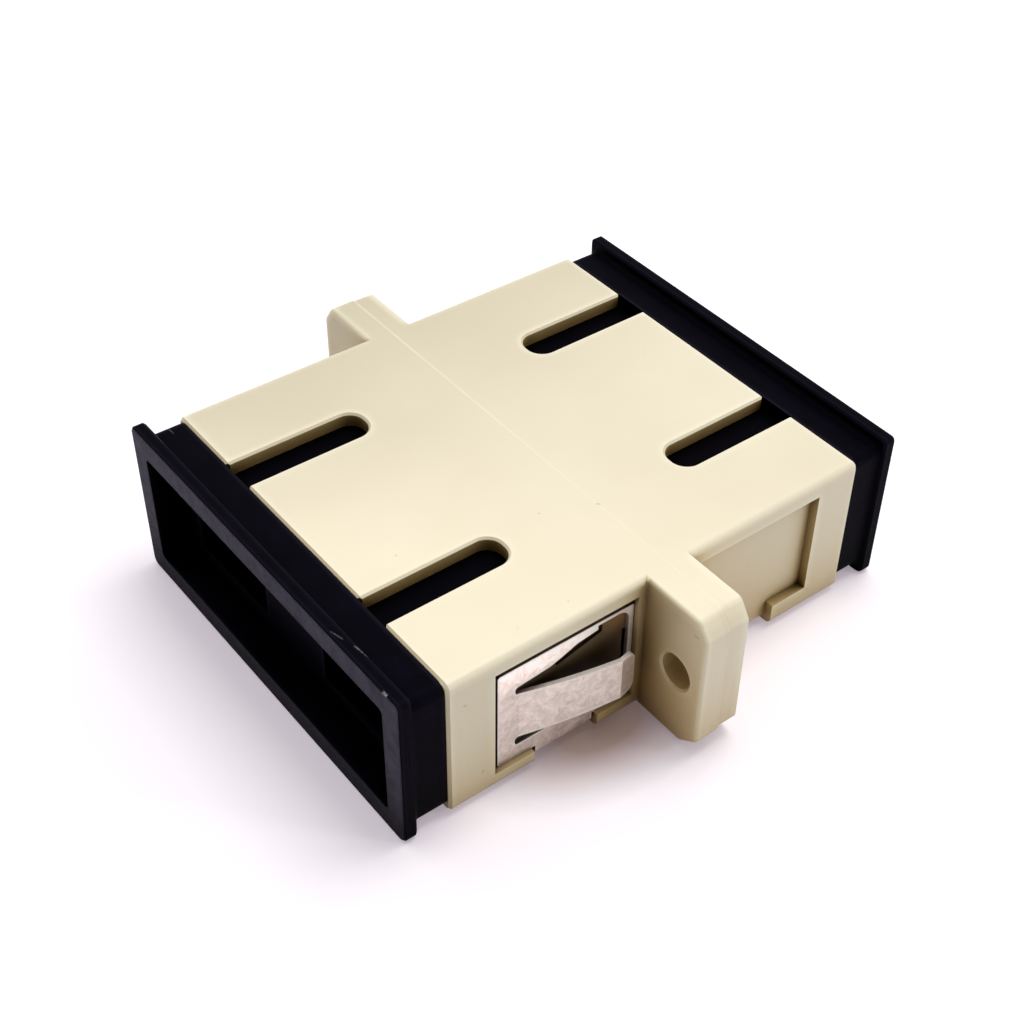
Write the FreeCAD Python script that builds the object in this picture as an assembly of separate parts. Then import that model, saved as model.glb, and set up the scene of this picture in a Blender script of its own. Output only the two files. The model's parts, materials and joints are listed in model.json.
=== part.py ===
import FreeCAD, Part
import os

# Twin-bay SC fibre adapter with two dust caps.  Millimetres.
# X runs across the two bays, Y along the fibre axis, Z up with the key slots on top.
# The origin is under the middle of the adapter, on the plane that the cap lips rest on.

# --- Housing: two moulded halves welded together at the seam -----------------------------
bay_pitch = 12.7             # between the two fibre axes
bay_width = 9.0
bay_height = 7.45
side_wall = 1.8
roof_wall = 0.85
housing_length = 27.3
seam_offset = 0.15           # the weld seam lies this far behind the middle
long_edge_radius = 0.4       # four outer edges along Y
mouth_edge_bevel = 0.15      # outer edge round each mouth
mouth_lead_in = 0.3          # bevel round each bay's mouth
key_slot_width = 2.16
key_slot_length = 8.0
key_slot_corner_radius = 0.95
key_slot_bevel = 0.12        # round the slot's upper edge
key_slot_flare = 0.2         # bevel where the slot opens at the mouth

# Flange: one ear each side, split by the same seam
ear_reach = 4.45             # from the housing's side wall to the ear's end
flange_thickness = 2.9
flange_hole_inset = 1.9      # from the ear's end to the hole's centre
flange_hole_radius = 1.05
hole_bevel = 0.12
ear_bevel_across = 0.7       # outer corners of each ear, measured along X
ear_bevel_up = 1.05          # and along Z
front_ear_proud = 0.08       # the front mould is this much wider at each end
front_low_bevel_across = 1.2
front_low_bevel_up = 0.85
front_ear_edge_radius = 0.24
ear_corner_radius = 0.5      # between the bevels and the ear's flat sides

# Clip recesses in the two side walls of each half
recess_depth = 0.55
recess_near = 1.87           # distances from the middle, along Y
recess_far = 10.86
front_ledge_height = 0.95    # ledge under each recess, above the housing's underside
rear_ledge_height = 1.4
recess_top_margin = 1.0
strap_notch_near = 4.22
strap_notch_far = 8.36
strap_groove_depth = 0.4

# Slots through the front half's recess floors, behind the clip's window
catch_slot_near = 3.75       # slants with the clip's folded catch, which it takes
catch_slot_far = 6.75
catch_slot_below = 0.7       # room under the catch
catch_slot_above = 0.05      # and over it
catch_slot_end_height = 0.45
catch_slot_corner_radius = 0.15
end_slot_near = 1.95
end_slot_far = 2.4
end_slot_height = 2.35       # centred on the fibre axes

# --- Inner latch bodies, held back to back in a pocket at the seam ----------------------
pocket_undercut = 0.6        # each side of the pocket stands this far behind the bay's wall
latch_base_thickness = 1.5
latch_clearance = 0.05
barrel_wall = 0.65
barrel_length = 6.5
barrel_lip_thickness = 0.7
barrel_lip_clearance = 0.1   # from the lip's hole to the sleeve's bore
barrel_mouth_bevel = 0.35
arm_side_clearance = 0.35    # from a latch arm to the bay's side wall
arm_thickness = 0.8
arm_height = 3.0
arm_length = 7.5
hook_reach = 0.45            # the hook stands in from the arm by this
hook_land = 0.3
hook_ramp = 1.1
hook_back_slope = 0.35
arm_tip_taper = 0.25
latch_corner_radius = 0.4

# --- Split alignment sleeves ------------------------------------------------------------
sleeve_outer_radius = 1.6
sleeve_bore_radius = 1.25
sleeve_clearance = 0.05      # round the sleeve, in its chamber
sleeve_end_clearance = 0.1
sleeve_slit = 0.45

# --- Spring clip: one stamped and folded strip ------------------------------------------
clip_thickness = 0.25
clip_far_gap = 0.36          # from the side plate to the recess ends and top
clip_near_gap = 0.04
clip_top_gap = 0.65
strap_far_gap = 0.28         # from the strap to the ends of its notch
strap_near_gap = 0.15
clip_bend_radius = 0.45
clip_corner_radius = 0.15
window_near = 2.2            # window in each side plate, distance from the middle
window_far_rail = 1.08       # metal left round the window: beyond its far end,
window_low_rail = 0.93       # under it,
window_top_rail = 0.2        # and over its near end
window_near_radius = 0.7
slot_end_radius = 0.2
arm_depth_root = 1.42        # upper arm, below the plate's top edge, at the window's far end
arm_waist = 7.25             # and at three places on from there
arm_depth_waist = 1.23
arm_shoulder = 5.6
arm_depth_shoulder = 0.66
catch_far_clearance = 0.2    # folded catch in its slot, along Y
catch_near_clearance = 0.5
catch_drop_far = 1.02        # lower edge of the catch, below the plate's top edge
catch_drop_near = 0.48
catch_depth = 0.75
tongue_root_rise = 1.45      # above the front ledge
tongue_root_drop = 1.88      # below the plate's top edge
tongue_tip_rise = 1.6
tongue_tip_fall = 2.3
tongue_flat = 0.25           # of the root, before the tongue bows out
tongue_crest = 3.5           # distance from the middle of the tongue's highest line
tongue_tip = 2.5
tongue_rise = 1.17
tongue_bulge = 0.12
tongue_tip_drop = 0.22
tongue_corner_radius = 0.5

# --- Dust caps --------------------------------------------------------------------------
cap_ride = 0.13              # the housing hangs on the plugs, so the caps sit this much high
lip_over_side = 0.1          # the lip stands past the housing's sides
lip_over_roof = 0.425        # and past its top and underside
lip_thickness = 0.8
lip_top_corner_radius = 0.3
lip_low_corner_radius = 0.5
lip_edge_bevel = 0.12
collar_inset_side = 0.3      # from the lip's edge in to the collar
collar_inset_roof = 0.65
collar_length = 1.98
collar_corner_radius = 0.6
collar_root_radius = 0.25
ring_wall = 1.4              # width of the cap's open end face
hollow_corner_radius = 0.3
web_thickness = 0.9
plug_clearance = 0.18
plug_wall = 0.8
plug_end_gap = 0.6           # from the closed cup to the tips of the latch arms
shelf_past_slot = 0.3        # upper and lower walls run on past the key slot
plug_lead_in = 0.35

# --- Derived places ---------------------------------------------------------------------
housing_width = bay_pitch + bay_width + 2 * side_wall
housing_height = bay_height + 2 * roof_wall
lip_width = housing_width + 2 * lip_over_side
lip_height = housing_height + 2 * lip_over_roof
collar_width = lip_width - 2 * collar_inset_side
collar_height = lip_height - 2 * collar_inset_roof
cap_z = lip_height / 2
mid_height = cap_z - cap_ride
base_z = mid_height - housing_height / 2
top_z = base_z + housing_height
half_width = housing_width / 2
half_length = housing_length / 2
half_flange = flange_thickness / 2
ear_tip = half_width + ear_reach
hole_x = ear_tip - flange_hole_inset
ledge_z = base_z + front_ledge_height
recess_top_z = top_z - recess_top_margin
floor_x = half_width - recess_depth
plate_x = floor_x + clip_thickness
plate_top_z = recess_top_z - clip_top_gap
plate_far = recess_far - clip_far_gap
window_far = plate_far - window_far_rail
catch_near = catch_slot_near + catch_near_clearance
catch_far = catch_slot_far - catch_far_clearance
pocket_width = bay_width + 2 * pocket_undercut
chamber_radius = sleeve_outer_radius + sleeve_clearance
barrel_radius = chamber_radius + barrel_wall
barrel_lip_radius = sleeve_bore_radius + barrel_lip_clearance
sleeve_length = 2 * (barrel_length - barrel_lip_thickness - sleeve_end_clearance)
arm_outer = bay_width / 2 - arm_side_clearance
arm_inner = arm_outer - arm_thickness
plug_end = seam_offset + arm_length + plug_end_gap
shelf_end = half_length - key_slot_length - shelf_past_slot
bays = {"left": -bay_pitch / 2, "right": bay_pitch / 2}
ends = {"front": -1, "rear": 1}
reach = 1.0                  # how far a cutting tool runs past a face
tiny = 1e-6                  # slack when picking edges by place


def box(x0, x1, y0, y1, z0, z1):
    low = FreeCAD.Vector(min(x0, x1), min(y0, y1), min(z0, z1))
    return Part.makeBox(abs(x1 - x0), abs(y1 - y0), abs(z1 - z0), low)


def prism(points, direction):
    """A polygon of 3-D points, swept along a vector."""
    vertices = [FreeCAD.Vector(*p) for p in points]
    face = Part.Face(Part.makePolygon(vertices + vertices[:1]))
    return face.extrude(FreeCAD.Vector(*direction))


def rod_along_y(x, z, radius, y0, y1):
    start = FreeCAD.Vector(x, min(y0, y1), z)
    return Part.makeCylinder(radius, abs(y1 - y0), start, FreeCAD.Vector(0, 1, 0))


def cone_mouth(x, z, radius, y_face, outward, bevel):
    """The cone of air that bevels a round hole where it meets a face."""
    start = FreeCAD.Vector(x, y_face - outward * bevel, z)
    return Part.makeCone(radius, radius + 2 * bevel, 2 * bevel, start, FreeCAD.Vector(0, outward, 0))


def edges_along(shape, axis):
    """Straight edges that run along one axis: 0, 1 or 2."""
    found = []
    for edge in shape.Edges:
        if len(edge.Vertexes) != 2:
            continue
        step = edge.Vertexes[1].Point - edge.Vertexes[0].Point
        if abs(step[axis]) > 0.999 * edge.Length:
            found.append(edge)
    return found


def edges_at_y(shape, y):
    """Edges that lie wholly in one plane across the fibre axis."""
    found = []
    for edge in shape.Edges:
        span = edge.BoundBox
        if abs(span.YMin - y) < tiny and abs(span.YMax - y) < tiny:
            found.append(edge)
    return found


def rounded_block(width, height, centre_x, centre_z, y0, y1, radius):
    """A block along Y with its four long edges rounded."""
    block = box(centre_x - width / 2, centre_x + width / 2, y0, y1,
                centre_z - height / 2, centre_z + height / 2)
    limit = min(radius, 0.49 * width, 0.49 * height)
    return block.makeFillet(limit, edges_along(block, 1))


# --- Housing halves ---------------------------------------------------------------------

def housing_shell(side):
    """Outer block of one half, with its long edges rounded and its mouth edge bevelled."""
    mouth = side * half_length
    block = rounded_block(housing_width, housing_height, 0, mid_height,
                          seam_offset, mouth, long_edge_radius)
    bevel = min(mouth_edge_bevel, 0.8 * long_edge_radius)
    return block.makeChamfer(bevel, edges_at_y(block, mouth))


def ear(side, hand):
    """One flange ear of one half, with bevelled corners; the front one's face is softened."""
    proud = front_ear_proud if side < 0 else 0.0
    low_across = front_low_bevel_across if side < 0 else ear_bevel_across
    low_up = front_low_bevel_up if side < 0 else ear_bevel_up
    tip = ear_tip + proud
    root = half_width - 2 * long_edge_radius
    face_y = side * half_flange
    outline = [(root, base_z), (tip - low_across, base_z), (tip, base_z + low_up),
               (tip, top_z - ear_bevel_up), (tip - ear_bevel_across, top_z), (root, top_z)]
    points = [(hand * x, seam_offset, z) for x, z in outline]
    solid = prism(points, (0, face_y - seam_offset, 0))
    corners = [e for e in edges_along(solid, 1) if abs(e.CenterOfMass.x) > root + tiny]
    solid = solid.makeFillet(ear_corner_radius, corners)
    if side > 0:
        return solid
    rim = [e for e in edges_at_y(solid, face_y) if abs(e.CenterOfMass.x) > root + tiny]
    return solid.makeFillet(front_ear_edge_radius, rim)


def bay_mouth(centre_x, side):
    """The tapered air that bevels the rim of one bay."""
    start = side * (half_length - mouth_lead_in)
    half_w = bay_width / 2
    half_h = bay_height / 2
    grow = 2 * mouth_lead_in
    taper = Part.makeWedge(-half_w, 0, -half_h, -half_h - grow, -half_w - grow,
                           half_w, grow, half_h, half_h + grow, half_w + grow)
    if side < 0:
        taper = taper.mirror(FreeCAD.Vector(0, 0, 0), FreeCAD.Vector(0, 1, 0))
    taper.translate(FreeCAD.Vector(centre_x, start, mid_height))
    return taper


def key_slot_outline(centre_x, side, grow, z):
    """Outline of one key slot at one level, with two rounded inner corners."""
    half_w = key_slot_width / 2 + grow
    inner = half_length - key_slot_length - grow
    outer = half_length + reach
    radius = min(key_slot_corner_radius, 0.49 * key_slot_width) + grow
    bow = radius * (1 - 0.5 ** 0.5)
    marks = [(-half_w, outer), (-half_w, inner + radius), (-half_w + bow, inner + bow),
             (-half_w + radius, inner), (half_w - radius, inner), (half_w - bow, inner + bow),
             (half_w, inner + radius), (half_w, outer)]
    p = [FreeCAD.Vector(centre_x + x, side * y, z) for x, y in marks]
    return Part.Wire([Part.LineSegment(p[0], p[1]).toShape(), Part.Arc(p[1], p[2], p[3]).toShape(),
                      Part.LineSegment(p[3], p[4]).toShape(), Part.Arc(p[4], p[5], p[6]).toShape(),
                      Part.LineSegment(p[6], p[7]).toShape(),
                      Part.LineSegment(p[7], p[0]).toShape()])


def key_slot(centre_x, side):
    """Slot through the top wall, bevelled along its upper edge and flared at the mouth."""
    mouth = side * half_length
    low = Part.Face(key_slot_outline(centre_x, side, 0, mid_height))
    slot = low.extrude(FreeCAD.Vector(0, 0, top_z + reach - mid_height))
    rim = Part.makeLoft([key_slot_outline(centre_x, side, 0, top_z - key_slot_bevel),
                         key_slot_outline(centre_x, side, 2 * key_slot_bevel, top_z + key_slot_bevel)],
                        True, True)
    near = key_slot_width / 2
    far = near + 2 * key_slot_flare
    flare = [(-near, -key_slot_flare), (near, -key_slot_flare),
             (far, key_slot_flare), (-far, key_slot_flare)]
    points = [(centre_x + x, mouth + side * y, mid_height) for x, y in flare]
    return slot.multiFuse([rim, prism(points, (0, 0, top_z + reach - mid_height))])


def bay_space(centre_x, side):
    """Air of one bay in one half: bore, bevelled rim, key slot and latch pocket."""
    low = mid_height - bay_height / 2
    high = mid_height + bay_height / 2
    past_seam = seam_offset - side * reach
    bore = box(centre_x - bay_width / 2, centre_x + bay_width / 2,
               past_seam, side * (half_length + reach), low, high)
    pocket = box(centre_x - pocket_width / 2, centre_x + pocket_width / 2, past_seam,
                 seam_offset + side * (latch_base_thickness + latch_clearance), low, high)
    return bore.multiFuse([bay_mouth(centre_x, side), pocket, key_slot(centre_x, side)])


def clip_recess(side, hand):
    """Air of one clip recess: a shallow panel with a strap notch through its ledge."""
    outside = hand * (half_width + reach)
    floor = hand * floor_x
    low = base_z + (front_ledge_height if side < 0 else rear_ledge_height)
    panel = box(floor, outside, side * recess_near, side * recess_far, low, recess_top_z)
    notch = box(floor, outside, side * strap_notch_near, side * strap_notch_far,
                base_z - reach, low + tiny)
    return panel.fuse(notch)


def catch_line(y):
    """Height of the folded catch's lower edge at one distance from the middle."""
    part = (y - catch_near) / (catch_far - catch_near)
    return plate_top_z - catch_drop_near - part * (catch_drop_far - catch_drop_near)


def recess_slots(side, hand):
    """Air of the catch slot and end slot, from one recess floor through to the bay."""
    bay_side = hand * (bay_pitch + bay_width - tiny) / 2
    outside = hand * (floor_x + tiny)
    over = clip_thickness + catch_slot_above
    low_near = catch_line(catch_slot_near) - catch_slot_below
    outline = [(catch_slot_far, catch_line(catch_slot_far) - catch_slot_below),
               (catch_slot_near, low_near), (catch_slot_near, low_near + catch_slot_end_height),
               (catch_near - catch_slot_above, catch_line(catch_near) + over),
               (catch_slot_far, catch_line(catch_slot_far) + over)]
    points = [(bay_side, side * y, z) for y, z in outline]
    catch = prism(points, (outside - bay_side, 0, 0))
    catch = catch.makeFillet(catch_slot_corner_radius, edges_along(catch, 0))
    end = box(bay_side, outside, side * end_slot_near, side * end_slot_far,
              mid_height - end_slot_height / 2, mid_height + end_slot_height / 2)
    return [catch, end]


def strap_groove(side):
    """Groove across the underside that lets the clip's strap lie flush."""
    return box(-half_width - reach, half_width + reach,
               side * strap_notch_near, side * strap_notch_far,
               base_z - reach, base_z + strap_groove_depth)


def flange_hole(side, hand):
    """Screw hole through one ear of one half, bevelled at the outer face."""
    centre_x = hand * hole_x
    face_y = side * half_flange
    hole = rod_along_y(centre_x, mid_height, flange_hole_radius,
                       seam_offset - side * reach, face_y + side * reach)
    return hole.fuse(cone_mouth(centre_x, mid_height, flange_hole_radius, face_y, side, hole_bevel))


def housing_half(side):
    solid = housing_shell(side).multiFuse([ear(side, -1), ear(side, 1)])
    air = [bay_space(centre_x, side) for centre_x in bays.values()]
    air.append(strap_groove(side))
    for hand in (-1, 1):
        air.append(clip_recess(side, hand))
        air.append(flange_hole(side, hand))
        if side < 0:
            air += recess_slots(side, hand)
    return solid.cut(air).removeSplitter()


# --- Latch bodies and sleeves -----------------------------------------------------------

def latch_arm(centre_x, side, hand):
    """One springing arm with its inward hook, as a profile swept through its height."""
    hook = arm_inner - hook_reach
    peak = arm_length - hook_ramp
    outline = [(arm_inner, latch_base_thickness / 2), (arm_outer, latch_base_thickness / 2),
               (arm_outer, peak), (arm_outer - arm_tip_taper, arm_length), (arm_inner, arm_length),
               (hook, peak), (hook, peak - hook_land),
               (arm_inner, peak - hook_land - hook_back_slope)]
    low = mid_height - arm_height / 2
    points = [(centre_x + hand * x, seam_offset + side * y, low) for x, y in outline]
    return prism(points, (0, 0, arm_height))


def latch_body(centre_x, side):
    """Base plate, sleeve barrel and two hooked arms of one side of one bay."""
    plate = rounded_block(pocket_width - 2 * latch_clearance, bay_height - 2 * latch_clearance,
                          centre_x, mid_height, seam_offset,
                          seam_offset + side * latch_base_thickness, latch_corner_radius)
    tip = seam_offset + side * barrel_length
    barrel = rod_along_y(centre_x, mid_height, barrel_radius, seam_offset, tip)
    solid = plate.multiFuse([barrel, latch_arm(centre_x, side, -1), latch_arm(centre_x, side, 1)])
    chamber = rod_along_y(centre_x, mid_height, chamber_radius,
                          seam_offset - side * reach, tip - side * barrel_lip_thickness)
    entry = rod_along_y(centre_x, mid_height, barrel_lip_radius, seam_offset, tip + side * reach)
    funnel = cone_mouth(centre_x, mid_height, barrel_lip_radius, tip, side, barrel_mouth_bevel)
    return solid.cut([chamber, entry, funnel]).removeSplitter()


def sleeve(centre_x):
    """Split tube that lines up the two ferrules."""
    y0 = seam_offset - sleeve_length / 2
    y1 = seam_offset + sleeve_length / 2
    tube = rod_along_y(centre_x, mid_height, sleeve_outer_radius, y0, y1)
    bore = rod_along_y(centre_x, mid_height, sleeve_bore_radius, y0 - reach, y1 + reach)
    slit = box(centre_x - sleeve_slit / 2, centre_x + sleeve_slit / 2, y0 - reach, y1 + reach,
               mid_height, mid_height + sleeve_outer_radius + reach)
    return tube.cut([bore, slit])


# --- Spring clip ------------------------------------------------------------------------

def clip_window():
    """Air of the window that frees the tongue and thins the upper arm."""
    low = ledge_z + window_low_rail
    high = plate_top_z - window_top_rail
    outline = [(window_far, low), (window_near, low), (window_near, high), (catch_near, high),
               (catch_near, plate_top_z - catch_drop_near),
               (arm_shoulder, plate_top_z - arm_depth_shoulder),
               (catch_far, plate_top_z - catch_drop_far),
               (arm_waist, plate_top_z - arm_depth_waist),
               (window_far, plate_top_z - arm_depth_root)]
    points = [(floor_x - reach, -y, z) for y, z in outline]
    window = prism(points, (clip_thickness + 2 * reach, 0, 0))
    near_top = [e for e in edges_along(window, 0) if abs(e.Vertexes[0].Y + window_near) < tiny
                and e.Vertexes[0].Z > high - tiny]
    window = window.makeFillet(window_near_radius, near_top)
    far = [e for e in edges_along(window, 0) if abs(e.Vertexes[0].Y + window_far) < tiny]
    return window.makeFillet(slot_end_radius, far)


def clip_plate():
    """Right-hand side plate with its window, lying on the recess floor."""
    plate = box(floor_x, plate_x, -plate_far, -recess_near - clip_near_gap, ledge_z, plate_top_z)
    plate = plate.makeFillet(clip_corner_radius, edges_along(plate, 0))
    return plate.cut(clip_window())


def clip_catch():
    """Edge of the upper arm folded inward, through the housing's catch slot."""
    far_z = catch_line(catch_far)
    near_z = catch_line(catch_near)
    inner = plate_x - catch_depth
    points = [(inner, -catch_far, far_z), (inner, -catch_near, near_z),
              (inner, -catch_near, near_z + clip_thickness),
              (inner, -catch_far, far_z + clip_thickness)]
    fold = prism(points, (catch_depth, 0, 0))
    lowest = [e for e in fold.Edges if abs(e.CenterOfMass.x - plate_x) < tiny
              and abs(e.CenterOfMass.z - (far_z + near_z) / 2) < tiny]
    return fold.makeFillet(0.9 * clip_thickness, lowest)


def tongue():
    """Right-hand tongue: rooted at the far end of the window, bowed out to a crest."""
    root = FreeCAD.Vector(plate_x, -window_far - clip_thickness, base_z)
    start = FreeCAD.Vector(plate_x, tongue_flat - window_far, base_z)
    crest = FreeCAD.Vector(plate_x + tongue_rise, -tongue_crest, base_z)
    bow = FreeCAD.Vector(plate_x + tongue_rise / 2 + tongue_bulge, (start.y + crest.y) / 2, base_z)
    tip = FreeCAD.Vector(crest.x - tongue_tip_drop, -tongue_tip, base_z)
    inward = FreeCAD.Vector(-clip_thickness, 0, 0)
    rim = [Part.LineSegment(root, start).toShape(),
           Part.Arc(start, bow, crest).toShape(),
           Part.LineSegment(crest, tip).toShape(),
           Part.LineSegment(tip, tip + inward).toShape(),
           Part.LineSegment(tip + inward, crest + inward).toShape(),
           Part.Arc(crest + inward, bow + inward, start + inward).toShape(),
           Part.LineSegment(start + inward, root + inward).toShape(),
           Part.LineSegment(root + inward, root).toShape()]
    strip = Part.Face(Part.Wire(rim)).extrude(FreeCAD.Vector(0, 0, housing_height))
    outline = [(root.y, ledge_z + tongue_root_rise), (-tongue_tip, ledge_z + tongue_tip_rise),
               (-tongue_tip, plate_top_z - tongue_tip_fall),
               (root.y, plate_top_z - tongue_root_drop)]
    points = [(floor_x - reach, y, z) for y, z in outline]
    blank = prism(points, (tongue_rise + clip_thickness + 2 * reach, 0, 0))
    free_corners = [e for e in edges_along(blank, 0) if e.Vertexes[0].Y > -tongue_crest]
    return strip.common(blank.makeFillet(tongue_corner_radius, free_corners))


def clip_strap():
    """Strap under the housing, with its two legs folded up to the side plates."""
    y_far = strap_far_gap - strap_notch_far
    y_near = -strap_notch_near - strap_near_gap
    low = base_z + strap_groove_depth - clip_thickness
    join = ledge_z + clip_thickness
    block = box(-plate_x, plate_x, y_far, y_near, low, join)
    folds = [e for e in edges_along(block, 1) if e.Vertexes[0].Z < low + tiny]
    block = block.makeFillet(clip_bend_radius, folds)
    inside = box(-floor_x, floor_x, y_far - reach, y_near + reach, low + clip_thickness, join + reach)
    return block.cut(inside)


def clip():
    right = clip_plate().multiFuse([clip_catch(), tongue()]).removeSplitter()
    slot_ends = [e for e in edges_along(right, 0) if abs(e.CenterOfMass.y + window_far) < tiny
                 and ledge_z + window_low_rail < e.CenterOfMass.z < plate_top_z - arm_depth_root - tiny]
    narrower = min(tongue_root_rise - window_low_rail, tongue_root_drop - arm_depth_root)
    right = right.makeFillet(min(slot_end_radius, 0.45 * narrower), slot_ends)
    left = right.mirror(FreeCAD.Vector(0, 0, 0), FreeCAD.Vector(1, 0, 0))
    return clip_strap().multiFuse([right, left]).removeSplitter()


# --- Dust caps --------------------------------------------------------------------------

def cap_plug(centre_x, side):
    """Closed cup that fills one bay's mouth, with upper and lower shelves that run on."""
    mouth = side * half_length
    width = bay_width - 2 * plug_clearance
    outer_z = bay_height / 2 - plug_clearance
    cup = box(centre_x - width / 2, centre_x + width / 2, mouth + side * web_thickness,
              side * plug_end, cap_z - outer_z, cap_z + outer_z)
    root = (plug_end + half_length) / 2
    outline = [(root, outer_z), (shelf_end + plug_lead_in, outer_z),
               (shelf_end, outer_z - plug_lead_in), (shelf_end, outer_z - plug_wall),
               (root, outer_z - plug_wall)]
    shelves = []
    for up in (-1, 1):
        points = [(centre_x - width / 2, side * y, cap_z + up * z) for y, z in outline]
        shelves.append(prism(points, (width, 0, 0)))
    return cup.multiFuse(shelves)


def cap_pocket(centre_x, side):
    """Air inside one plug, open to the cap's hollow."""
    mouth = side * half_length
    width = bay_width - 2 * plug_clearance - 2 * plug_wall
    height = bay_height - 2 * plug_clearance - 2 * plug_wall
    return box(centre_x - width / 2, centre_x + width / 2,
               mouth + side * (web_thickness + reach), side * (plug_end + plug_wall),
               cap_z - height / 2, cap_z + height / 2)


def cap_rim(side):
    """Collar against the housing's mouth and the lip beyond it, with a soft root between."""
    mouth = side * half_length
    lip_start = mouth + side * collar_length
    lip_end = lip_start + side * lip_thickness
    collar = rounded_block(collar_width, collar_height, 0, cap_z,
                           mouth, lip_start + side * lip_thickness / 2, collar_corner_radius)
    lip = box(-lip_width / 2, lip_width / 2, lip_start, lip_end, 0, lip_height)
    for level, radius in ((lip_height, lip_top_corner_radius), (0, lip_low_corner_radius)):
        corners = [e for e in edges_along(lip, 1) if abs(e.CenterOfMass.z - level) < tiny]
        lip = lip.makeFillet(radius, corners)
    lip = lip.makeChamfer(lip_edge_bevel, edges_at_y(lip, lip_start) + edges_at_y(lip, lip_end))
    rim = collar.fuse(lip)
    span = collar_width / 2 + tiny
    root = [e for e in edges_at_y(rim, lip_start) if abs(e.CenterOfMass.x) < span
            and abs(e.CenterOfMass.z - cap_z) < collar_height / 2 + tiny]
    return rim.makeFillet(collar_root_radius, root)


def dust_cap(side):
    mouth = side * half_length
    solid = cap_rim(side).multiFuse([cap_plug(centre_x, side) for centre_x in bays.values()])
    hollow = rounded_block(lip_width - 2 * ring_wall, lip_height - 2 * ring_wall, 0, cap_z,
                           mouth + side * web_thickness,
                           mouth + side * (collar_length + lip_thickness + reach),
                           hollow_corner_radius)
    air = [hollow] + [cap_pocket(centre_x, side) for centre_x in bays.values()]
    return solid.cut(air).removeSplitter()


def build():
    parts = {}
    for end, side in ends.items():
        parts[end + "_housing"] = housing_half(side)
        parts[end + "_cap"] = dust_cap(side)
    for hand, centre_x in bays.items():
        for end, side in ends.items():
            parts[hand + "_" + end + "_latch"] = latch_body(centre_x, side)
        parts[hand + "_sleeve"] = sleeve(centre_x)
    parts["spring_clip"] = clip()
    return parts


os.makedirs("parts", exist_ok=True)
for name, shape in build().items():
    shape.exportStep("parts/" + name + ".step")
    print(name, "valid", shape.isValid(), "solids", len(shape.Solids), "volume", round(shape.Volume, 2))
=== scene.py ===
import json
import math

import bpy
from mathutils import Matrix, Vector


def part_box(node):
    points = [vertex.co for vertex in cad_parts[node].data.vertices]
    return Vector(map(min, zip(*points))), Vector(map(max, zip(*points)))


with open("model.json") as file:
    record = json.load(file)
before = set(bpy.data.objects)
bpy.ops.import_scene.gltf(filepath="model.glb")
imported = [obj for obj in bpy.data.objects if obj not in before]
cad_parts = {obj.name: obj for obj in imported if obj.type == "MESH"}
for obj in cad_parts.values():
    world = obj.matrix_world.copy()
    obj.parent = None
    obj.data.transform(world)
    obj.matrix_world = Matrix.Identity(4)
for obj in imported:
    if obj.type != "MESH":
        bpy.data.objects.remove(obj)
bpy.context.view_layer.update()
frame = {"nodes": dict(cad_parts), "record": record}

MM = 0.001
WHITE = (1.0, 1.0, 1.0)
PLASTIC_IOR = 1.5

# --- Camera -------------------------------------------------------------------------------
# A pinhole fitted to the photograph.
CAMERA_AT = (55.647 * MM, -43.072 * MM, 66.288 * MM)
CAMERA_RIGHT = (0.62640, 0.77879, 0.03315)
CAMERA_DOWN = (0.53103, -0.39522, -0.74954)
CAMERA_FORWARD = (-0.57063, 0.48712, -0.66113)
SENSOR_MM = 36.0
LENS_MM = 58.28
SHIFT_X = -0.0615
NEAREST = 0.001
FARTHEST = 20.0


def add_camera():
    data = bpy.data.cameras.new("camera")
    data.sensor_width = SENSOR_MM
    data.lens = LENS_MM
    data.shift_x = SHIFT_X
    data.clip_start = NEAREST
    data.clip_end = FARTHEST
    obj = bpy.data.objects.new("camera", data)
    bpy.context.scene.collection.objects.link(obj)
    columns = (CAMERA_RIGHT, tuple(-v for v in CAMERA_DOWN), tuple(-v for v in CAMERA_FORWARD))
    turn = Matrix(columns).transposed().to_4x4()
    obj.matrix_world = Matrix.Translation(CAMERA_AT) @ turn
    bpy.context.scene.camera = obj


# --- Node helper --------------------------------------------------------------------------
AO_SAMPLES = 6
EDGE_STOPS = [(0.55, 1.0), (0.93, 0.0)]
RAGGED_STOPS = [(0.38, 0.2), (0.55, 1.0)]
FADES_FROM = 0.7             # a scratch starts to fade at this share of its half length
FULL_WITHIN = 0.3            # and is at its strongest within this share of its half width


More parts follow.
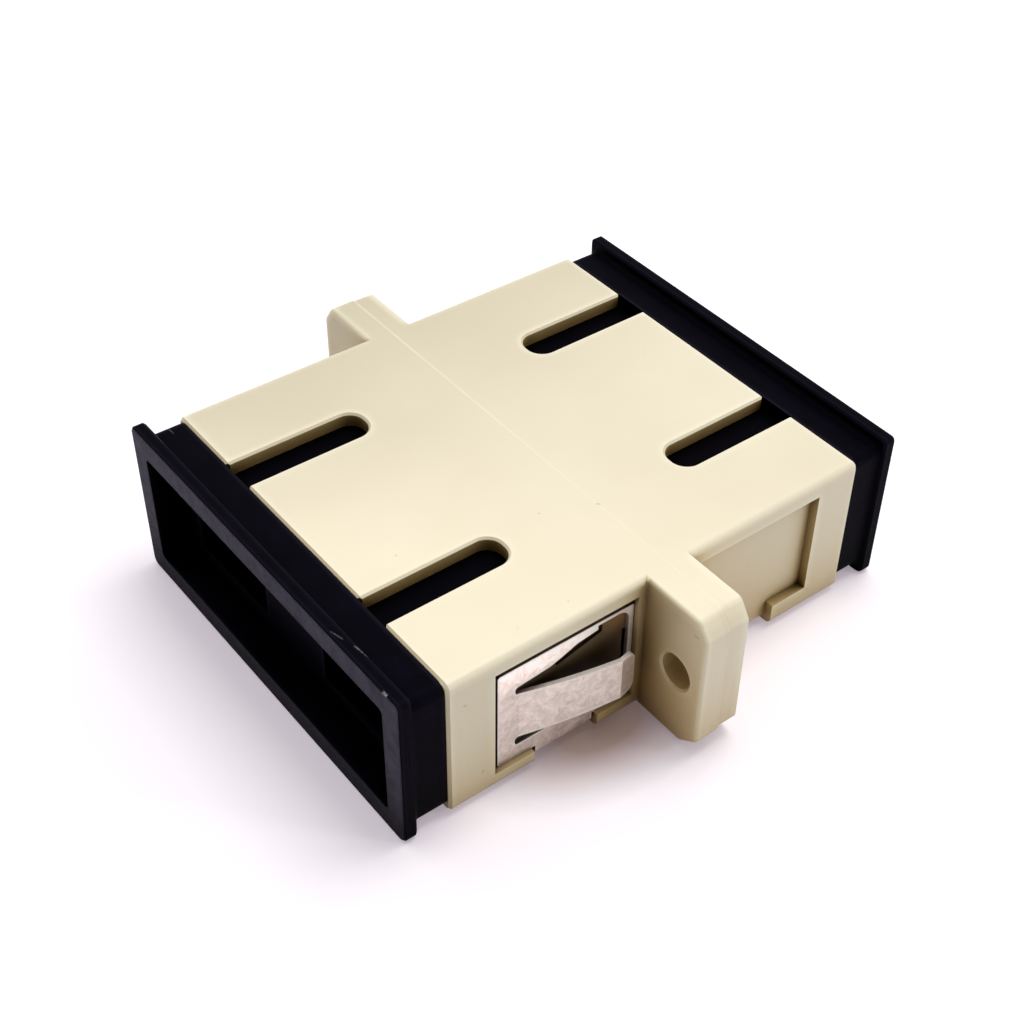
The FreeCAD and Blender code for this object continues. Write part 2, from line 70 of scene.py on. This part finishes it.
class Nodes:
    """Builds one material's node tree."""

    def __init__(self, name):
        self.material = bpy.data.materials.new(name)
        self.material.use_nodes = True
        self.tree = self.material.node_tree
        self.tree.nodes.clear()
        self.out = self.tree.nodes.new("ShaderNodeOutputMaterial")
        self.coords = self.tree.nodes.new("ShaderNodeTexCoord").outputs["Object"]

    def add(self, kind, **settings):
        node = self.tree.nodes.new(kind)
        for key, value in settings.items():
            setattr(node, key, value)
        return node

    def link(self, source, target):
        self.tree.links.new(source, target)

    def set(self, node, **values):
        """Sets or links inputs by name, with _ for a space."""
        for key, value in values.items():
            self.put(node.inputs[key.replace("_", " ")], value)
        return node

    def put(self, socket, value):
        if isinstance(value, bpy.types.NodeSocket):
            self.link(value, socket)
        else:
            socket.default_value = value

    def place(self):
        """The object coordinates X, Y and Z, in metres."""
        split = self.add("ShaderNodeSeparateXYZ")
        self.link(self.coords, split.inputs[0])
        return [split.outputs[axis] for axis in "XYZ"]

    def stretched(self, scale):
        """Object coordinates scaled by a different amount along each axis."""
        node = self.add("ShaderNodeMapping")
        self.set(node, Vector=self.coords, Scale=scale)
        return node.outputs["Vector"]

    def noise(self, per_mm, detail, roughness, distortion=0.0, vector=None):
        node = self.add("ShaderNodeTexNoise")
        self.set(node, Vector=vector or self.coords, Scale=per_mm / MM, Detail=detail,
                 Roughness=roughness, Distortion=distortion)
        return node.outputs["Fac"]

    def ramp(self, value, stops):
        """Maps a value through stops of (place, grey or colour)."""
        node = self.add("ShaderNodeValToRGB")
        elements = node.color_ramp.elements
        while len(elements) < len(stops):
            elements.new(0.5)
        for element, (place, colour) in zip(elements, stops):
            element.position = place
            if isinstance(colour, float):
                colour = (colour, colour, colour)
            element.color = (*colour, 1.0)
        self.link(value, node.inputs["Fac"])
        return node.outputs["Color"]

    def mix(self, factor, a, b, blend="MIX"):
        node = self.add("ShaderNodeMix", data_type="RGBA", blend_type=blend)
        for socket, value in ((node.inputs[0], factor), (node.inputs[6], a), (node.inputs[7], b)):
            self.put(socket, (*value, 1.0) if isinstance(value, tuple) else value)
        return node.outputs[2]

    def tint(self, colour, by):
        """One colour multiplied by another."""
        return self.mix(1.0, colour, by, "MULTIPLY")

    def paint(self, colour, amount, strength, over):
        """A second colour laid over the first as far as amount times strength."""
        return self.mix(self.math("MULTIPLY", amount, strength), colour, over)

    def math(self, operation, a, b=0.0):
        node = self.add("ShaderNodeMath", operation=operation)
        self.put(node.inputs[0], a)
        self.put(node.inputs[1], b)
        return node.outputs[0]

    def times(self, *factors):
        """All the factors multiplied together."""
        product = factors[0]
        for factor in factors[1:]:
            product = self.math("MULTIPLY", product, factor)
        return product

    def bump(self, height, distance_mm, strength, normal=None):
        node = self.add("ShaderNodeBump")
        self.set(node, Height=height, Strength=strength, Distance=distance_mm * MM)
        if normal:
            self.link(normal, node.inputs["Normal"])
        return node.outputs["Normal"]

    def between(self, value, from_mm, to_mm):
        """0 to 1 as a length goes from one number of millimetres to another."""
        node = self.add("ShaderNodeMapRange")
        self.set(node, Value=value, From_Min=from_mm * MM, From_Max=to_mm * MM)
        return node.outputs["Result"]

    def within(self, value, low, high):
        """1 between two lengths in metres, 0 outside them."""
        above = self.math("GREATER_THAN", value, low)
        return self.math("MULTIPLY", above, self.math("LESS_THAN", value, high))

    def crevice(self, reach_mm, stops):
        """Painted shade: colours from the depth of a gap or inner corner, where shade falls, to the
        open.
        """
        node = self.add("ShaderNodeAmbientOcclusion", samples=AO_SAMPLES)
        self.set(node, Distance=reach_mm * MM)
        return self.ramp(node.outputs["AO"], stops)

    def edge(self, reach_mm):
        """1 along outer edges, fading to 0 on flat faces."""
        node = self.add("ShaderNodeAmbientOcclusion", samples=AO_SAMPLES, inside=True, only_local=True)
        self.set(node, Distance=reach_mm * MM)
        return self.ramp(node.outputs["AO"], EDGE_STOPS)

    def mark(self, at_mm, direction, half_mm, thick_mm):
        """1 along a short scratch through a point, 0 away from it."""
        off = self.add("ShaderNodeVectorMath", operation="SUBTRACT")
        self.link(self.coords, off.inputs[0])
        off.inputs[1].default_value = [v * MM for v in at_mm]
        along = self.add("ShaderNodeVectorMath", operation="DOT_PRODUCT")
        self.link(off.outputs["Vector"], along.inputs[0])
        along.inputs[1].default_value = direction
        away = self.add("ShaderNodeVectorMath", operation="LENGTH")
        self.link(off.outputs["Vector"], away.inputs[0])
        away_squared = self.math("POWER", away.outputs["Value"], 2.0)
        along_squared = self.math("POWER", along.outputs["Value"], 2.0)
        across_squared = self.math("MAXIMUM", self.math("SUBTRACT", away_squared, along_squared), 0.0)
        across = self.math("SQRT", across_squared)
        length = self.math("ABSOLUTE", along.outputs["Value"])
        thin = self.between(across, thick_mm, FULL_WITHIN * thick_mm)
        short = self.between(length, half_mm, FADES_FROM * half_mm)
        ragged = self.ramp(self.noise(per_mm=8.0, detail=3.0, roughness=0.6), RAGGED_STOPS)
        return self.times(thin, short, ragged)

    def surface(self, shader):
        self.link(shader, self.out.inputs["Surface"])
        return self.material

    def principled(self, **values):
        node = self.add("ShaderNodeBsdfPrincipled")
        self.set(node, **values)
        return self.surface(node.outputs["BSDF"])


# --- Housing: beige plastic ---------------------------------------------------------------
CREAM_STOPS = [(0.3, (0.83, 0.745, 0.555)), (0.7, (0.87, 0.79, 0.60))]
LEFT_SHADE = (0.76, 0.75, 0.70)                   # painted shade: what the colour is multiplied by at the far left
LEFT_SHADE_AT_MM = -17.0
ROOF_MM = (8.7, 9.1)                        # heights between which the sides turn into the roof
ROOF_HIGHLIGHT = (1.11, 1.105, 1.095)             # painted highlight: multiplies the roof's front right corner
ROOF_HIGHLIGHT_OVER_MM = 15.0                     # how far X must be ahead of Y for all of it
WELD_MM = (0.12, 0.02)                      # off the seam: where the line starts, and where it is full
WELD_STOPS = [(0.34, 0.45), (0.64, 1.0)]
# a painted highlight: the lighter, broken line along the seam
WELD_HIGHLIGHT = (0.95, 0.87, 0.69)
WELD_HIGHLIGHT_STRENGTH = 0.6
STREAK_SCALE = (0.5, 3.2, 0.12)
STREAKED_MM = (1.2, 0.5)                    # off the seam
EAR_ENDS_MM = (14.0, 16.5)                  # from the middle, where the streaks come in
STREAK_STOPS = [(0.52, 0.0), (0.66, 1.0)]
STREAK = (0.80, 0.62, 0.50)
STREAK_STRENGTH = 0.22
DIRT_STOPS = [(0.765, 0.0), (0.80, 1.0)]
DIRT = (0.42, 0.36, 0.27)
DIRT_STRENGTH = 0.5
# a painted highlight along the outer edges
EDGE_HIGHLIGHT_REACH_MM = 0.6
EDGE_HIGHLIGHT_CLEAR_MM = (0.3, 0.9)                # off the seam: no painted edge highlight, full painted edge highlight
EDGE_HIGHLIGHT = (0.98, 0.92, 0.72)
EDGE_HIGHLIGHT_STRENGTH = 0.8

RECESS_FLOOR_MM = (11.9, 12.3)              # how far from the middle the clip's two recess floors lie
LEDGE_TOP_MM = 1.0                          # the ledges under the recesses get no painted shade
CLIP_GAP_MM = 0.16                          # all round the clip in its recess
# painted shade on the recess floors behind the clip
BEHIND_CLIP_SHADE = (0.105, 0.078, 0.046)
BEHIND_CLIP_SHADE_STRENGTH = 0.95
# a brown patch of painted light in the upper rear corner behind the clip
LIT_PATCH_HEIGHTS_MM = (6.0, 7.3)
LIT_PATCH_Y_MM = (-4.0, -2.8)
LIT_PATCH = (0.55, 0.31, 0.12)
LIT_PATCH_STRENGTH = 0.7

# painted shade in gaps and inner corners
CREVICE_SHADE_REACH_MM = 1.8
CREVICE_SHADE_STOPS = [(0.15, (0.03, 0.022, 0.012)), (0.36, (0.13, 0.10, 0.05)), (0.54, (0.44, 0.37, 0.22)),
               (0.74, (0.90, 0.85, 0.72)), (0.95, WHITE)]
LOW_MM = (1.6, 0.6)                         # heights over which the painted shade thins towards the floor
LOW_THINNING = 0.55
CORNER_SHADE_REACH_MM = 8.0
CORNER_SHADE_STOPS = [(0.35, (0.62, 0.48, 0.27)), (0.60, (0.87, 0.775, 0.61)), (0.86, WHITE)]
EAR_FRONT_Y_MM = (-1.25, -1.42)
EAR_FROM_MM = (12.66, 12.76)                # from the middle
# painted shade across the right ear's front face
EAR_SHADE_MM = (12.7, 16.7)
EAR_SHADE_STOPS = [(0.0, (0.50, 0.43, 0.36)), (0.35, (0.78, 0.72, 0.62)), (0.95, (1.10, 1.05, 0.96))]
# painted light on the left ear's front face
LEFT_EAR_LIGHT = (1.22, 1.20, 1.13)
HOUSING_ROUGH_STOPS = [(0.3, 0.32), (0.7, 0.44)]


def by_painted_light(n, colour, x, y, z):
    """Painted shade, darker to the left, and a painted highlight on the roof towards the front right
    corner.
    """
    left_shade = n.ramp(n.between(x, 0.0, LEFT_SHADE_AT_MM), [(0.0, WHITE), (1.0, LEFT_SHADE)])
    colour = n.tint(colour, left_shade)
    towards_front = n.between(n.math("SUBTRACT", x, y), 0.0, ROOF_HIGHLIGHT_OVER_MM)
    on_roof = n.between(z, *ROOF_MM)
    return n.tint(colour, n.ramp(n.times(on_roof, towards_front), [(0.0, WHITE), (1.0, ROOF_HIGHLIGHT)]))


def shade_behind_clip(n, colour, across, y, z):
    """Painted shade, nearly black, on the recess floors behind the clip, with a brown patch of painted
    light in the upper rear corner.
    """
    (_, near, _), (_, far, high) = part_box("spring_clip")
    gap = CLIP_GAP_MM * MM
    behind = n.times(n.within(across, *(v * MM for v in RECESS_FLOOR_MM)),
                     n.within(y, near - gap, far + gap),
                     n.within(z, LEDGE_TOP_MM * MM, high + gap))
    colour = n.paint(colour, behind, BEHIND_CLIP_SHADE_STRENGTH, BEHIND_CLIP_SHADE)
    lit_corner = n.times(behind, n.times(n.between(z, *LIT_PATCH_HEIGHTS_MM), n.between(y, *LIT_PATCH_Y_MM)))
    return n.paint(colour, lit_corner, LIT_PATCH_STRENGTH, LIT_PATCH)


def shade_in_corners(n, colour, z):
    """Painted shade in narrow gaps, and a wider, paler painted shade in inner corners."""
    crevice_shade = n.crevice(CREVICE_SHADE_REACH_MM, CREVICE_SHADE_STOPS)
    crevice_shade = n.paint(crevice_shade, n.between(z, *LOW_MM), LOW_THINNING, WHITE)
    colour = n.tint(colour, crevice_shade)
    return n.tint(colour, n.crevice(CORNER_SHADE_REACH_MM, CORNER_SHADE_STOPS))


def on_ears(n, colour, x, y):
    """Painted shade on the right ear's front face, darkest at the wall and a little lighter than plain
    at its outer end; painted light on the left ear's front face.
    """
    ear_front = n.between(y, *EAR_FRONT_Y_MM)
    right = n.times(ear_front, n.between(x, *EAR_FROM_MM))
    ear_shade = n.ramp(n.between(x, *EAR_SHADE_MM), EAR_SHADE_STOPS)
    colour = n.mix(right, colour, n.tint(colour, ear_shade))
    left = n.times(ear_front, n.between(x, *(-v for v in EAR_FROM_MM)))
    return n.mix(left, colour, n.tint(colour, LEFT_EAR_LIGHT))


def housing_material():
    n = Nodes("moulded_beige")
    x, y, z = n.place()
    colour = n.ramp(n.noise(per_mm=0.12, detail=3.0, roughness=0.5), CREAM_STOPS)
    colour = by_painted_light(n, colour, x, y, z)
    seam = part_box("rear_housing")[0][1]
    off_seam = n.math("ABSOLUTE", n.math("SUBTRACT", y, seam))
    # A broken line along the seam, raised by a bump and lighter there as a painted highlight.
    broken = n.ramp(n.noise(per_mm=0.7, detail=4.0, roughness=0.7), WELD_STOPS)
    weld = n.times(n.between(off_seam, *WELD_MM), broken)
    colour = n.paint(colour, weld, WELD_HIGHLIGHT_STRENGTH, WELD_HIGHLIGHT)
    across = n.math("ABSOLUTE", x)
    streak = n.noise(per_mm=1.0, detail=3.0, roughness=0.6, vector=n.stretched(STREAK_SCALE))
    near_seam = n.times(n.between(off_seam, *STREAKED_MM), n.between(across, *EAR_ENDS_MM))
    streak = n.times(near_seam, n.ramp(streak, STREAK_STOPS))
    colour = n.paint(colour, streak, STREAK_STRENGTH, STREAK)
    dirt = n.ramp(n.noise(per_mm=1.7, detail=2.0, roughness=0.4), DIRT_STOPS)
    colour = n.paint(colour, dirt, DIRT_STRENGTH, DIRT)
    # A painted highlight along the outer edges, kept off the seam.
    edge_highlight = n.times(n.edge(EDGE_HIGHLIGHT_REACH_MM), n.between(off_seam, *EDGE_HIGHLIGHT_CLEAR_MM))
    colour = n.paint(colour, edge_highlight, EDGE_HIGHLIGHT_STRENGTH, EDGE_HIGHLIGHT)
    colour = shade_behind_clip(n, colour, across, y, z)
    colour = shade_in_corners(n, colour, z)
    colour = on_ears(n, colour, x, y)
    grain = n.noise(per_mm=9.0, detail=3.0, roughness=0.6)
    raised = n.bump(weld, distance_mm=0.01, strength=0.4)
    normal = n.bump(grain, distance_mm=0.006, strength=0.35, normal=raised)
    return n.principled(Base_Color=colour, Roughness=n.ramp(grain, HOUSING_ROUGH_STOPS),
                        Normal=normal, IOR=PLASTIC_IOR)


# --- Latches and sleeves, inside ----------------------------------------------------------
LATCH_STOPS = [(0.3, (0.74, 0.70, 0.58)), (0.7, (0.79, 0.75, 0.64))]
LATCH_ROUGH_STOPS = [(0.3, 0.42), (0.7, 0.55)]
BRONZE_SCALE = (1.0, 0.06, 1.0)
BRONZE_STOPS = [(0.3, (0.62, 0.42, 0.19)), (0.7, (0.76, 0.55, 0.28))]
BRONZE_ROUGH_STOPS = [(0.3, 0.18), (0.7, 0.34)]


def latch_material():
    n = Nodes("moulded_cream")
    colour = n.ramp(n.noise(per_mm=0.4, detail=3.0, roughness=0.5), LATCH_STOPS)
    grain = n.noise(per_mm=8.0, detail=3.0, roughness=0.6)
    return n.principled(Base_Color=colour, Roughness=n.ramp(grain, LATCH_ROUGH_STOPS),
                        Normal=n.bump(grain, distance_mm=0.006, strength=0.3), IOR=PLASTIC_IOR)


def sleeve_material():
    n = Nodes("phosphor_bronze")
    brushed = n.noise(per_mm=6.0, detail=4.0, roughness=0.6, vector=n.stretched(BRONZE_SCALE))
    return n.principled(Base_Color=n.ramp(brushed, BRONZE_STOPS),
                        Roughness=n.ramp(brushed, BRONZE_ROUGH_STOPS),
                        Metallic=1.0, Normal=n.bump(brushed, distance_mm=0.003, strength=0.3))


# --- Clip: stamped steel ------------------------------------------------------------------
ROLLED_SCALE = (1.0, 0.25, 1.0)
STEEL_STOPS = [(0.34, (0.67, 0.585, 0.525)), (0.62, (0.94, 0.845, 0.775))]
CLIP_LIGHT_MM = (6.0, 7.6)                        # painted light: heights between which the steel turns from dull to bright
CLIP_LIGHT_STOPS = [(0.0, 0.84), (1.0, 1.42)]
SHEARED_REACH_MM = 0.2
# a painted highlight on the sheared edges
SHEARED_HIGHLIGHT = (0.97, 0.92, 0.86)
SHEARED_HIGHLIGHT_STRENGTH = 0.8
SHEARED_MATT = 0.75                         # how much less metallic the sheared edges are
# painted shade in the gaps and corners round the clip
CLIP_SHADE_REACH_MM = 0.9
CLIP_SHADE_STOPS = [(0.34, (0.04, 0.03, 0.025)), (0.58, (0.42, 0.34, 0.29)), (0.80, WHITE)]
CLIP_ROUGH_STOPS = [(0.3, 0.38), (0.7, 0.56)]


def clip_material():
    n = Nodes("stamped_steel")
    z = n.place()[2]
    mottle = n.noise(per_mm=1.9, detail=5.0, roughness=0.72, distortion=0.6)
    rolled = n.noise(per_mm=6.0, detail=4.0, roughness=0.6, vector=n.stretched(ROLLED_SCALE))
    # Painted light and shade: the steel darker low down and lighter towards the top.
    colour = n.tint(n.ramp(mottle, STEEL_STOPS), n.ramp(n.between(z, *CLIP_LIGHT_MM), CLIP_LIGHT_STOPS))
    sheared = n.edge(SHEARED_REACH_MM)
    # A painted highlight along the sheared edges, which are also less metallic.
    colour = n.paint(colour, sheared, SHEARED_HIGHLIGHT_STRENGTH, SHEARED_HIGHLIGHT)
    # Painted shade in gaps and inner corners.
    colour = n.tint(colour, n.crevice(CLIP_SHADE_REACH_MM, CLIP_SHADE_STOPS))
    metallic = n.math("SUBTRACT", 1.0, n.math("MULTIPLY", sheared, SHEARED_MATT))
    lines = n.bump(rolled, distance_mm=0.004, strength=0.3)
    normal = n.bump(mottle, distance_mm=0.03, strength=0.5, normal=lines)
    return n.principled(Base_Color=colour, Roughness=n.ramp(rolled, CLIP_ROUGH_STOPS),
                        Metallic=metallic, Normal=normal)


# --- Caps: black plastic ------------------------------------------------------------------
BLACK_STOPS = [(0.3, (0.0013, 0.0009, 0.0032)), (0.7, (0.0027, 0.0020, 0.0060))]
END_FACE_MM = 0.04                          # how far in from the cap's end its paler end face is
PALE_STOPS = [(0.3, (0.045, 0.041, 0.060)), (0.7, (0.085, 0.079, 0.108))]
PATCH_STOPS = [(0.50, 0.0), (0.62, 1.0)]
SPECK_STOPS = [(0.745, 0.0), (0.79, 1.0)]
SPECK = (0.20, 0.195, 0.23)
SPECK_STRENGTH = 0.8
SCRATCH_SCALE = (0.30, 2.6, 2.6)
SCRATCH_STOPS = [(0.755, 0.0), (0.775, 1.0)]
SCRATCH = (0.11, 0.105, 0.14)
SCRATCH_STRENGTH = 0.5
# paler outer edges: wear, and a painted highlight along them
WEAR_AND_HIGHLIGHT_REACH_MM = 0.3
WEAR_AND_HIGHLIGHT = (0.030, 0.027, 0.045)
WEAR_AND_HIGHLIGHT_STRENGTH = 0.35
# painted shade deep in the caps' hollows and gaps
HOLLOW_SHADE_REACH_MM = 6.0
HOLLOW_SHADE_STOPS = [(0.55, (0.0, 0.0, 0.0)), (0.92, WHITE)]
CAP_ROUGH_STOPS = [(0.3, 0.40), (0.7, 0.60)]
CAP_SPECULAR = 0.015
MARK_STRENGTH = 0.85
# A nick and two scratches on the front cap: place in mm, direction, half its length and
# half its width in mm, brightness.
MARKS = [((11.60, -16.40, 10.0), (1.0, 0.0, 0.0), 0.20, 0.12, 0.75),
         ((8.8, -15.74, 10.0), (0.99, 0.14, 0.0), 0.60, 0.07, 0.16),
         ((7.2, -16.10, 10.0), (0.97, 0.24, 0.0), 0.45, 0.06, 0.10)]


def cap_material():
    n = Nodes("moulded_black")
    y = n.place()[1]
    colour = n.ramp(n.noise(per_mm=0.5, detail=4.0, roughness=0.6), BLACK_STOPS)
    end_face = abs(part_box("front_cap")[0][1]) - END_FACE_MM * MM
    end_on = n.math("GREATER_THAN", n.math("ABSOLUTE", y), end_face)
    colour = n.mix(end_on, colour, n.ramp(n.noise(per_mm=1.2, detail=5.0, roughness=0.65), PALE_STOPS))
    patchy = n.ramp(n.noise(per_mm=0.35, detail=2.0, roughness=0.5), PATCH_STOPS)
    specks = n.ramp(n.noise(per_mm=3.0, detail=4.0, roughness=0.6, distortion=0.8), SPECK_STOPS)
    colour = n.paint(colour, n.times(specks, patchy), SPECK_STRENGTH, SPECK)
    scratch = n.noise(per_mm=1.0, detail=3.0, roughness=0.5, vector=n.stretched(SCRATCH_SCALE))
    colour = n.paint(colour, n.ramp(scratch, SCRATCH_STOPS), SCRATCH_STRENGTH, SCRATCH)
    # Paler outer edges: wear, and a painted highlight.
    colour = n.paint(colour, n.edge(WEAR_AND_HIGHLIGHT_REACH_MM), WEAR_AND_HIGHLIGHT_STRENGTH, WEAR_AND_HIGHLIGHT)
    # Painted shade in the hollows and gaps.
    colour = n.tint(colour, n.crevice(HOLLOW_SHADE_REACH_MM, HOLLOW_SHADE_STOPS))
    for at_mm, direction, half_mm, thick_mm, bright in MARKS:
        mark = n.mark(at_mm, direction, half_mm, thick_mm)
        colour = n.paint(colour, mark, MARK_STRENGTH, (bright, bright, bright))
    grain = n.noise(per_mm=7.0, detail=4.0, roughness=0.65)
    return n.principled(Base_Color=colour, Roughness=n.ramp(grain, CAP_ROUGH_STOPS),
                        Normal=n.bump(grain, distance_mm=0.012, strength=0.5),
                        IOR=PLASTIC_IOR, Specular_IOR_Level=CAP_SPECULAR)


# --- Stage --------------------------------------------------------------------------------
FLOOR_HALF = 1.5
PAPER_STOPS = [(0.0, (0.85, 0.835, 0.85)), (1.0, (0.87, 0.855, 0.87))]
SHADE_AT_MM = (12.4, -3.8)   # on the floor beside the clip
SHADE_SQUEEZE = 0.6          # the shade is longer along the wall than out from it
SHADE_REACH_MM = 5.0
SHADE_STOPS = [(0.0, (0.34, 0.27, 0.21)), (0.30, (0.38, 0.31, 0.26)), (0.45, (0.52, 0.46, 0.44)),
               (0.62, (0.70, 0.66, 0.64)), (0.80, (0.86, 0.86, 0.86)), (1.0, WHITE)]
FLOOR_GLOW = (1.0, 0.87, 1.0)
FLOOR_LIFT = 0.33            # near the object, where its shadow has to show
FLOOR_LIFT_FAR = 1.0
FADE_FROM_MM = 28.0
FADE_TO_MM = 80.0


def beside_clip(n):
    """A warm, dark shade in the corner between the clip and the ear, white away from it."""
    x_mm, y_mm = SHADE_AT_MM
    off = n.add("ShaderNodeVectorMath", operation="DISTANCE")
    n.link(n.stretched((1.0, SHADE_SQUEEZE, 1.0)), off.inputs[0])
    off.inputs[1].default_value = (x_mm * MM, SHADE_SQUEEZE * y_mm * MM, 0.0)
    return n.ramp(n.between(off.outputs["Value"], 0.0, SHADE_REACH_MM), SHADE_STOPS)


def floor_material():
    """White paper, shaded beside the clip, that glows white further out."""
    n = Nodes("floor")
    colour = n.ramp(n.noise(per_mm=0.01, detail=2.0, roughness=0.55), PAPER_STOPS)
    shade = beside_clip(n)
    paper = n.add("ShaderNodeBsdfDiffuse")
    n.set(paper, Color=n.tint(colour, shade))
    rays = n.add("ShaderNodeLightPath")
    seen = n.math("MAXIMUM", rays.outputs["Is Camera Ray"], rays.outputs["Is Glossy Ray"])
    seen = n.math("MAXIMUM", seen, rays.outputs["Is Transmission Ray"])
    away = n.add("ShaderNodeVectorMath", operation="LENGTH")
    n.link(n.coords, away.inputs[0])
    lift = n.add("ShaderNodeMapRange")
    n.set(lift, Value=away.outputs["Value"], From_Min=FADE_FROM_MM * MM, From_Max=FADE_TO_MM * MM,
          To_Min=FLOOR_LIFT, To_Max=FLOOR_LIFT_FAR)
    glow = n.add("ShaderNodeEmission")
    n.set(glow, Color=n.tint(FLOOR_GLOW, shade), Strength=n.times(seen, lift.outputs["Result"]))
    both = n.add("ShaderNodeAddShader")
    n.link(paper.outputs["BSDF"], both.inputs[0])
    n.link(glow.outputs["Emission"], both.inputs[1])
    return n.surface(both.outputs["Shader"])


def add_floor():
    mesh = bpy.data.meshes.new("floor")
    s = FLOOR_HALF
    mesh.from_pydata([(-s, -s, 0), (s, -s, 0), (s, s, 0), (-s, s, 0)], [], [(0, 1, 2, 3)])
    mesh.materials.append(floor_material())
    obj = bpy.data.objects.new("floor", mesh)
    bpy.context.scene.collection.objects.link(obj)


# Lamps: name, place and aim in mm, width and height in mm, watts, colour.
LAMPS = [("key", (10, 60, 225), (2, 4, 0), (90, 110), 0.18, (1.0, 0.99, 0.97)),
         ("edge", (200, 150, 165), (0, 0, 5), (40, 40), 0.08, (1.0, 0.99, 0.97)),
         ("side", (240, 60, 45), (0, 0, 5), (120, 60), 0.05, (1.0, 0.97, 0.90))]


def add_lamp(name, place_mm, aim_mm, size_mm, power, colour):
    data = bpy.data.lights.new(name, "AREA")
    data.shape = "RECTANGLE"
    data.size = size_mm[0] * MM
    data.size_y = size_mm[1] * MM
    data.energy = power
    data.color = colour
    obj = bpy.data.objects.new(name, data)
    bpy.context.scene.collection.objects.link(obj)
    place = Matrix.Translation([v * MM for v in place_mm])
    aim = place.translation - Matrix.Translation([v * MM for v in aim_mm]).translation
    obj.matrix_world = place @ aim.to_track_quat("Z", "Y").to_matrix().to_4x4()


DOME_TOWARDS = (-0.66, 0.40, 0.70)
DOME_STRENGTH = 1.22
DOME_EDGE = -0.1             # the cosine at which the dome's light has faded to nothing


def add_world():
    """White where it is seen, straight on or mirrored; a soft one-sided dome of light to the rest."""
    world = bpy.data.worlds.new("studio")
    world.use_nodes = True
    tree = world.node_tree
    tree.nodes.clear()
    link = tree.links.new

    def node(kind, **settings):
        made = tree.nodes.new(kind)
        for key, value in settings.items():
            setattr(made, key, value)
        return made

    way = node("ShaderNodeTexCoord")
    aim = node("ShaderNodeVectorMath", operation="DOT_PRODUCT")
    link(way.outputs["Generated"], aim.inputs[0])
    size = math.sqrt(sum(v * v for v in DOME_TOWARDS))
    aim.inputs[1].default_value = [v / size for v in DOME_TOWARDS]
    dome = node("ShaderNodeMapRange", interpolation_type="SMOOTHSTEP")
    link(aim.outputs["Value"], dome.inputs["Value"])
    dome.inputs["From Min"].default_value = DOME_EDGE
    dome.inputs["To Max"].default_value = DOME_STRENGTH
    rays = node("ShaderNodeLightPath")
    mirrored = node("ShaderNodeMath", operation="MAXIMUM")
    link(rays.outputs["Is Glossy Ray"], mirrored.inputs[0])
    link(rays.outputs["Is Transmission Ray"], mirrored.inputs[1])
    direct = node("ShaderNodeMath", operation="MAXIMUM")
    link(rays.outputs["Is Camera Ray"], direct.inputs[0])
    link(mirrored.outputs[0], direct.inputs[1])
    seen = node("ShaderNodeMix", data_type="FLOAT")
    link(direct.outputs[0], seen.inputs[0])
    link(dome.outputs["Result"], seen.inputs[2])
    seen.inputs[3].default_value = 1.0
    background = node("ShaderNodeBackground")
    link(seen.outputs[0], background.inputs["Strength"])
    background.inputs["Color"].default_value = (*WHITE, 1.0)
    out = node("ShaderNodeOutputWorld")
    link(background.outputs["Background"], out.inputs["Surface"])
    bpy.context.scene.world = world


# --- Build --------------------------------------------------------------------------------
finishes = {"housing": housing_material(), "latch": latch_material(), "sleeve": sleeve_material(),
            "clip": clip_material(), "cap": cap_material()}
for part in frame["record"]["subparts"]:
    node = frame["nodes"][part["node"]]
    for index in range(len(node.material_slots)):
        node.material_slots[index].material = finishes[part["material_slot"]]

bpy.context.scene.view_settings.view_transform = "Standard"
add_camera()
add_floor()
add_world()
for lamp in LAMPS:
    add_lamp(*lamp)
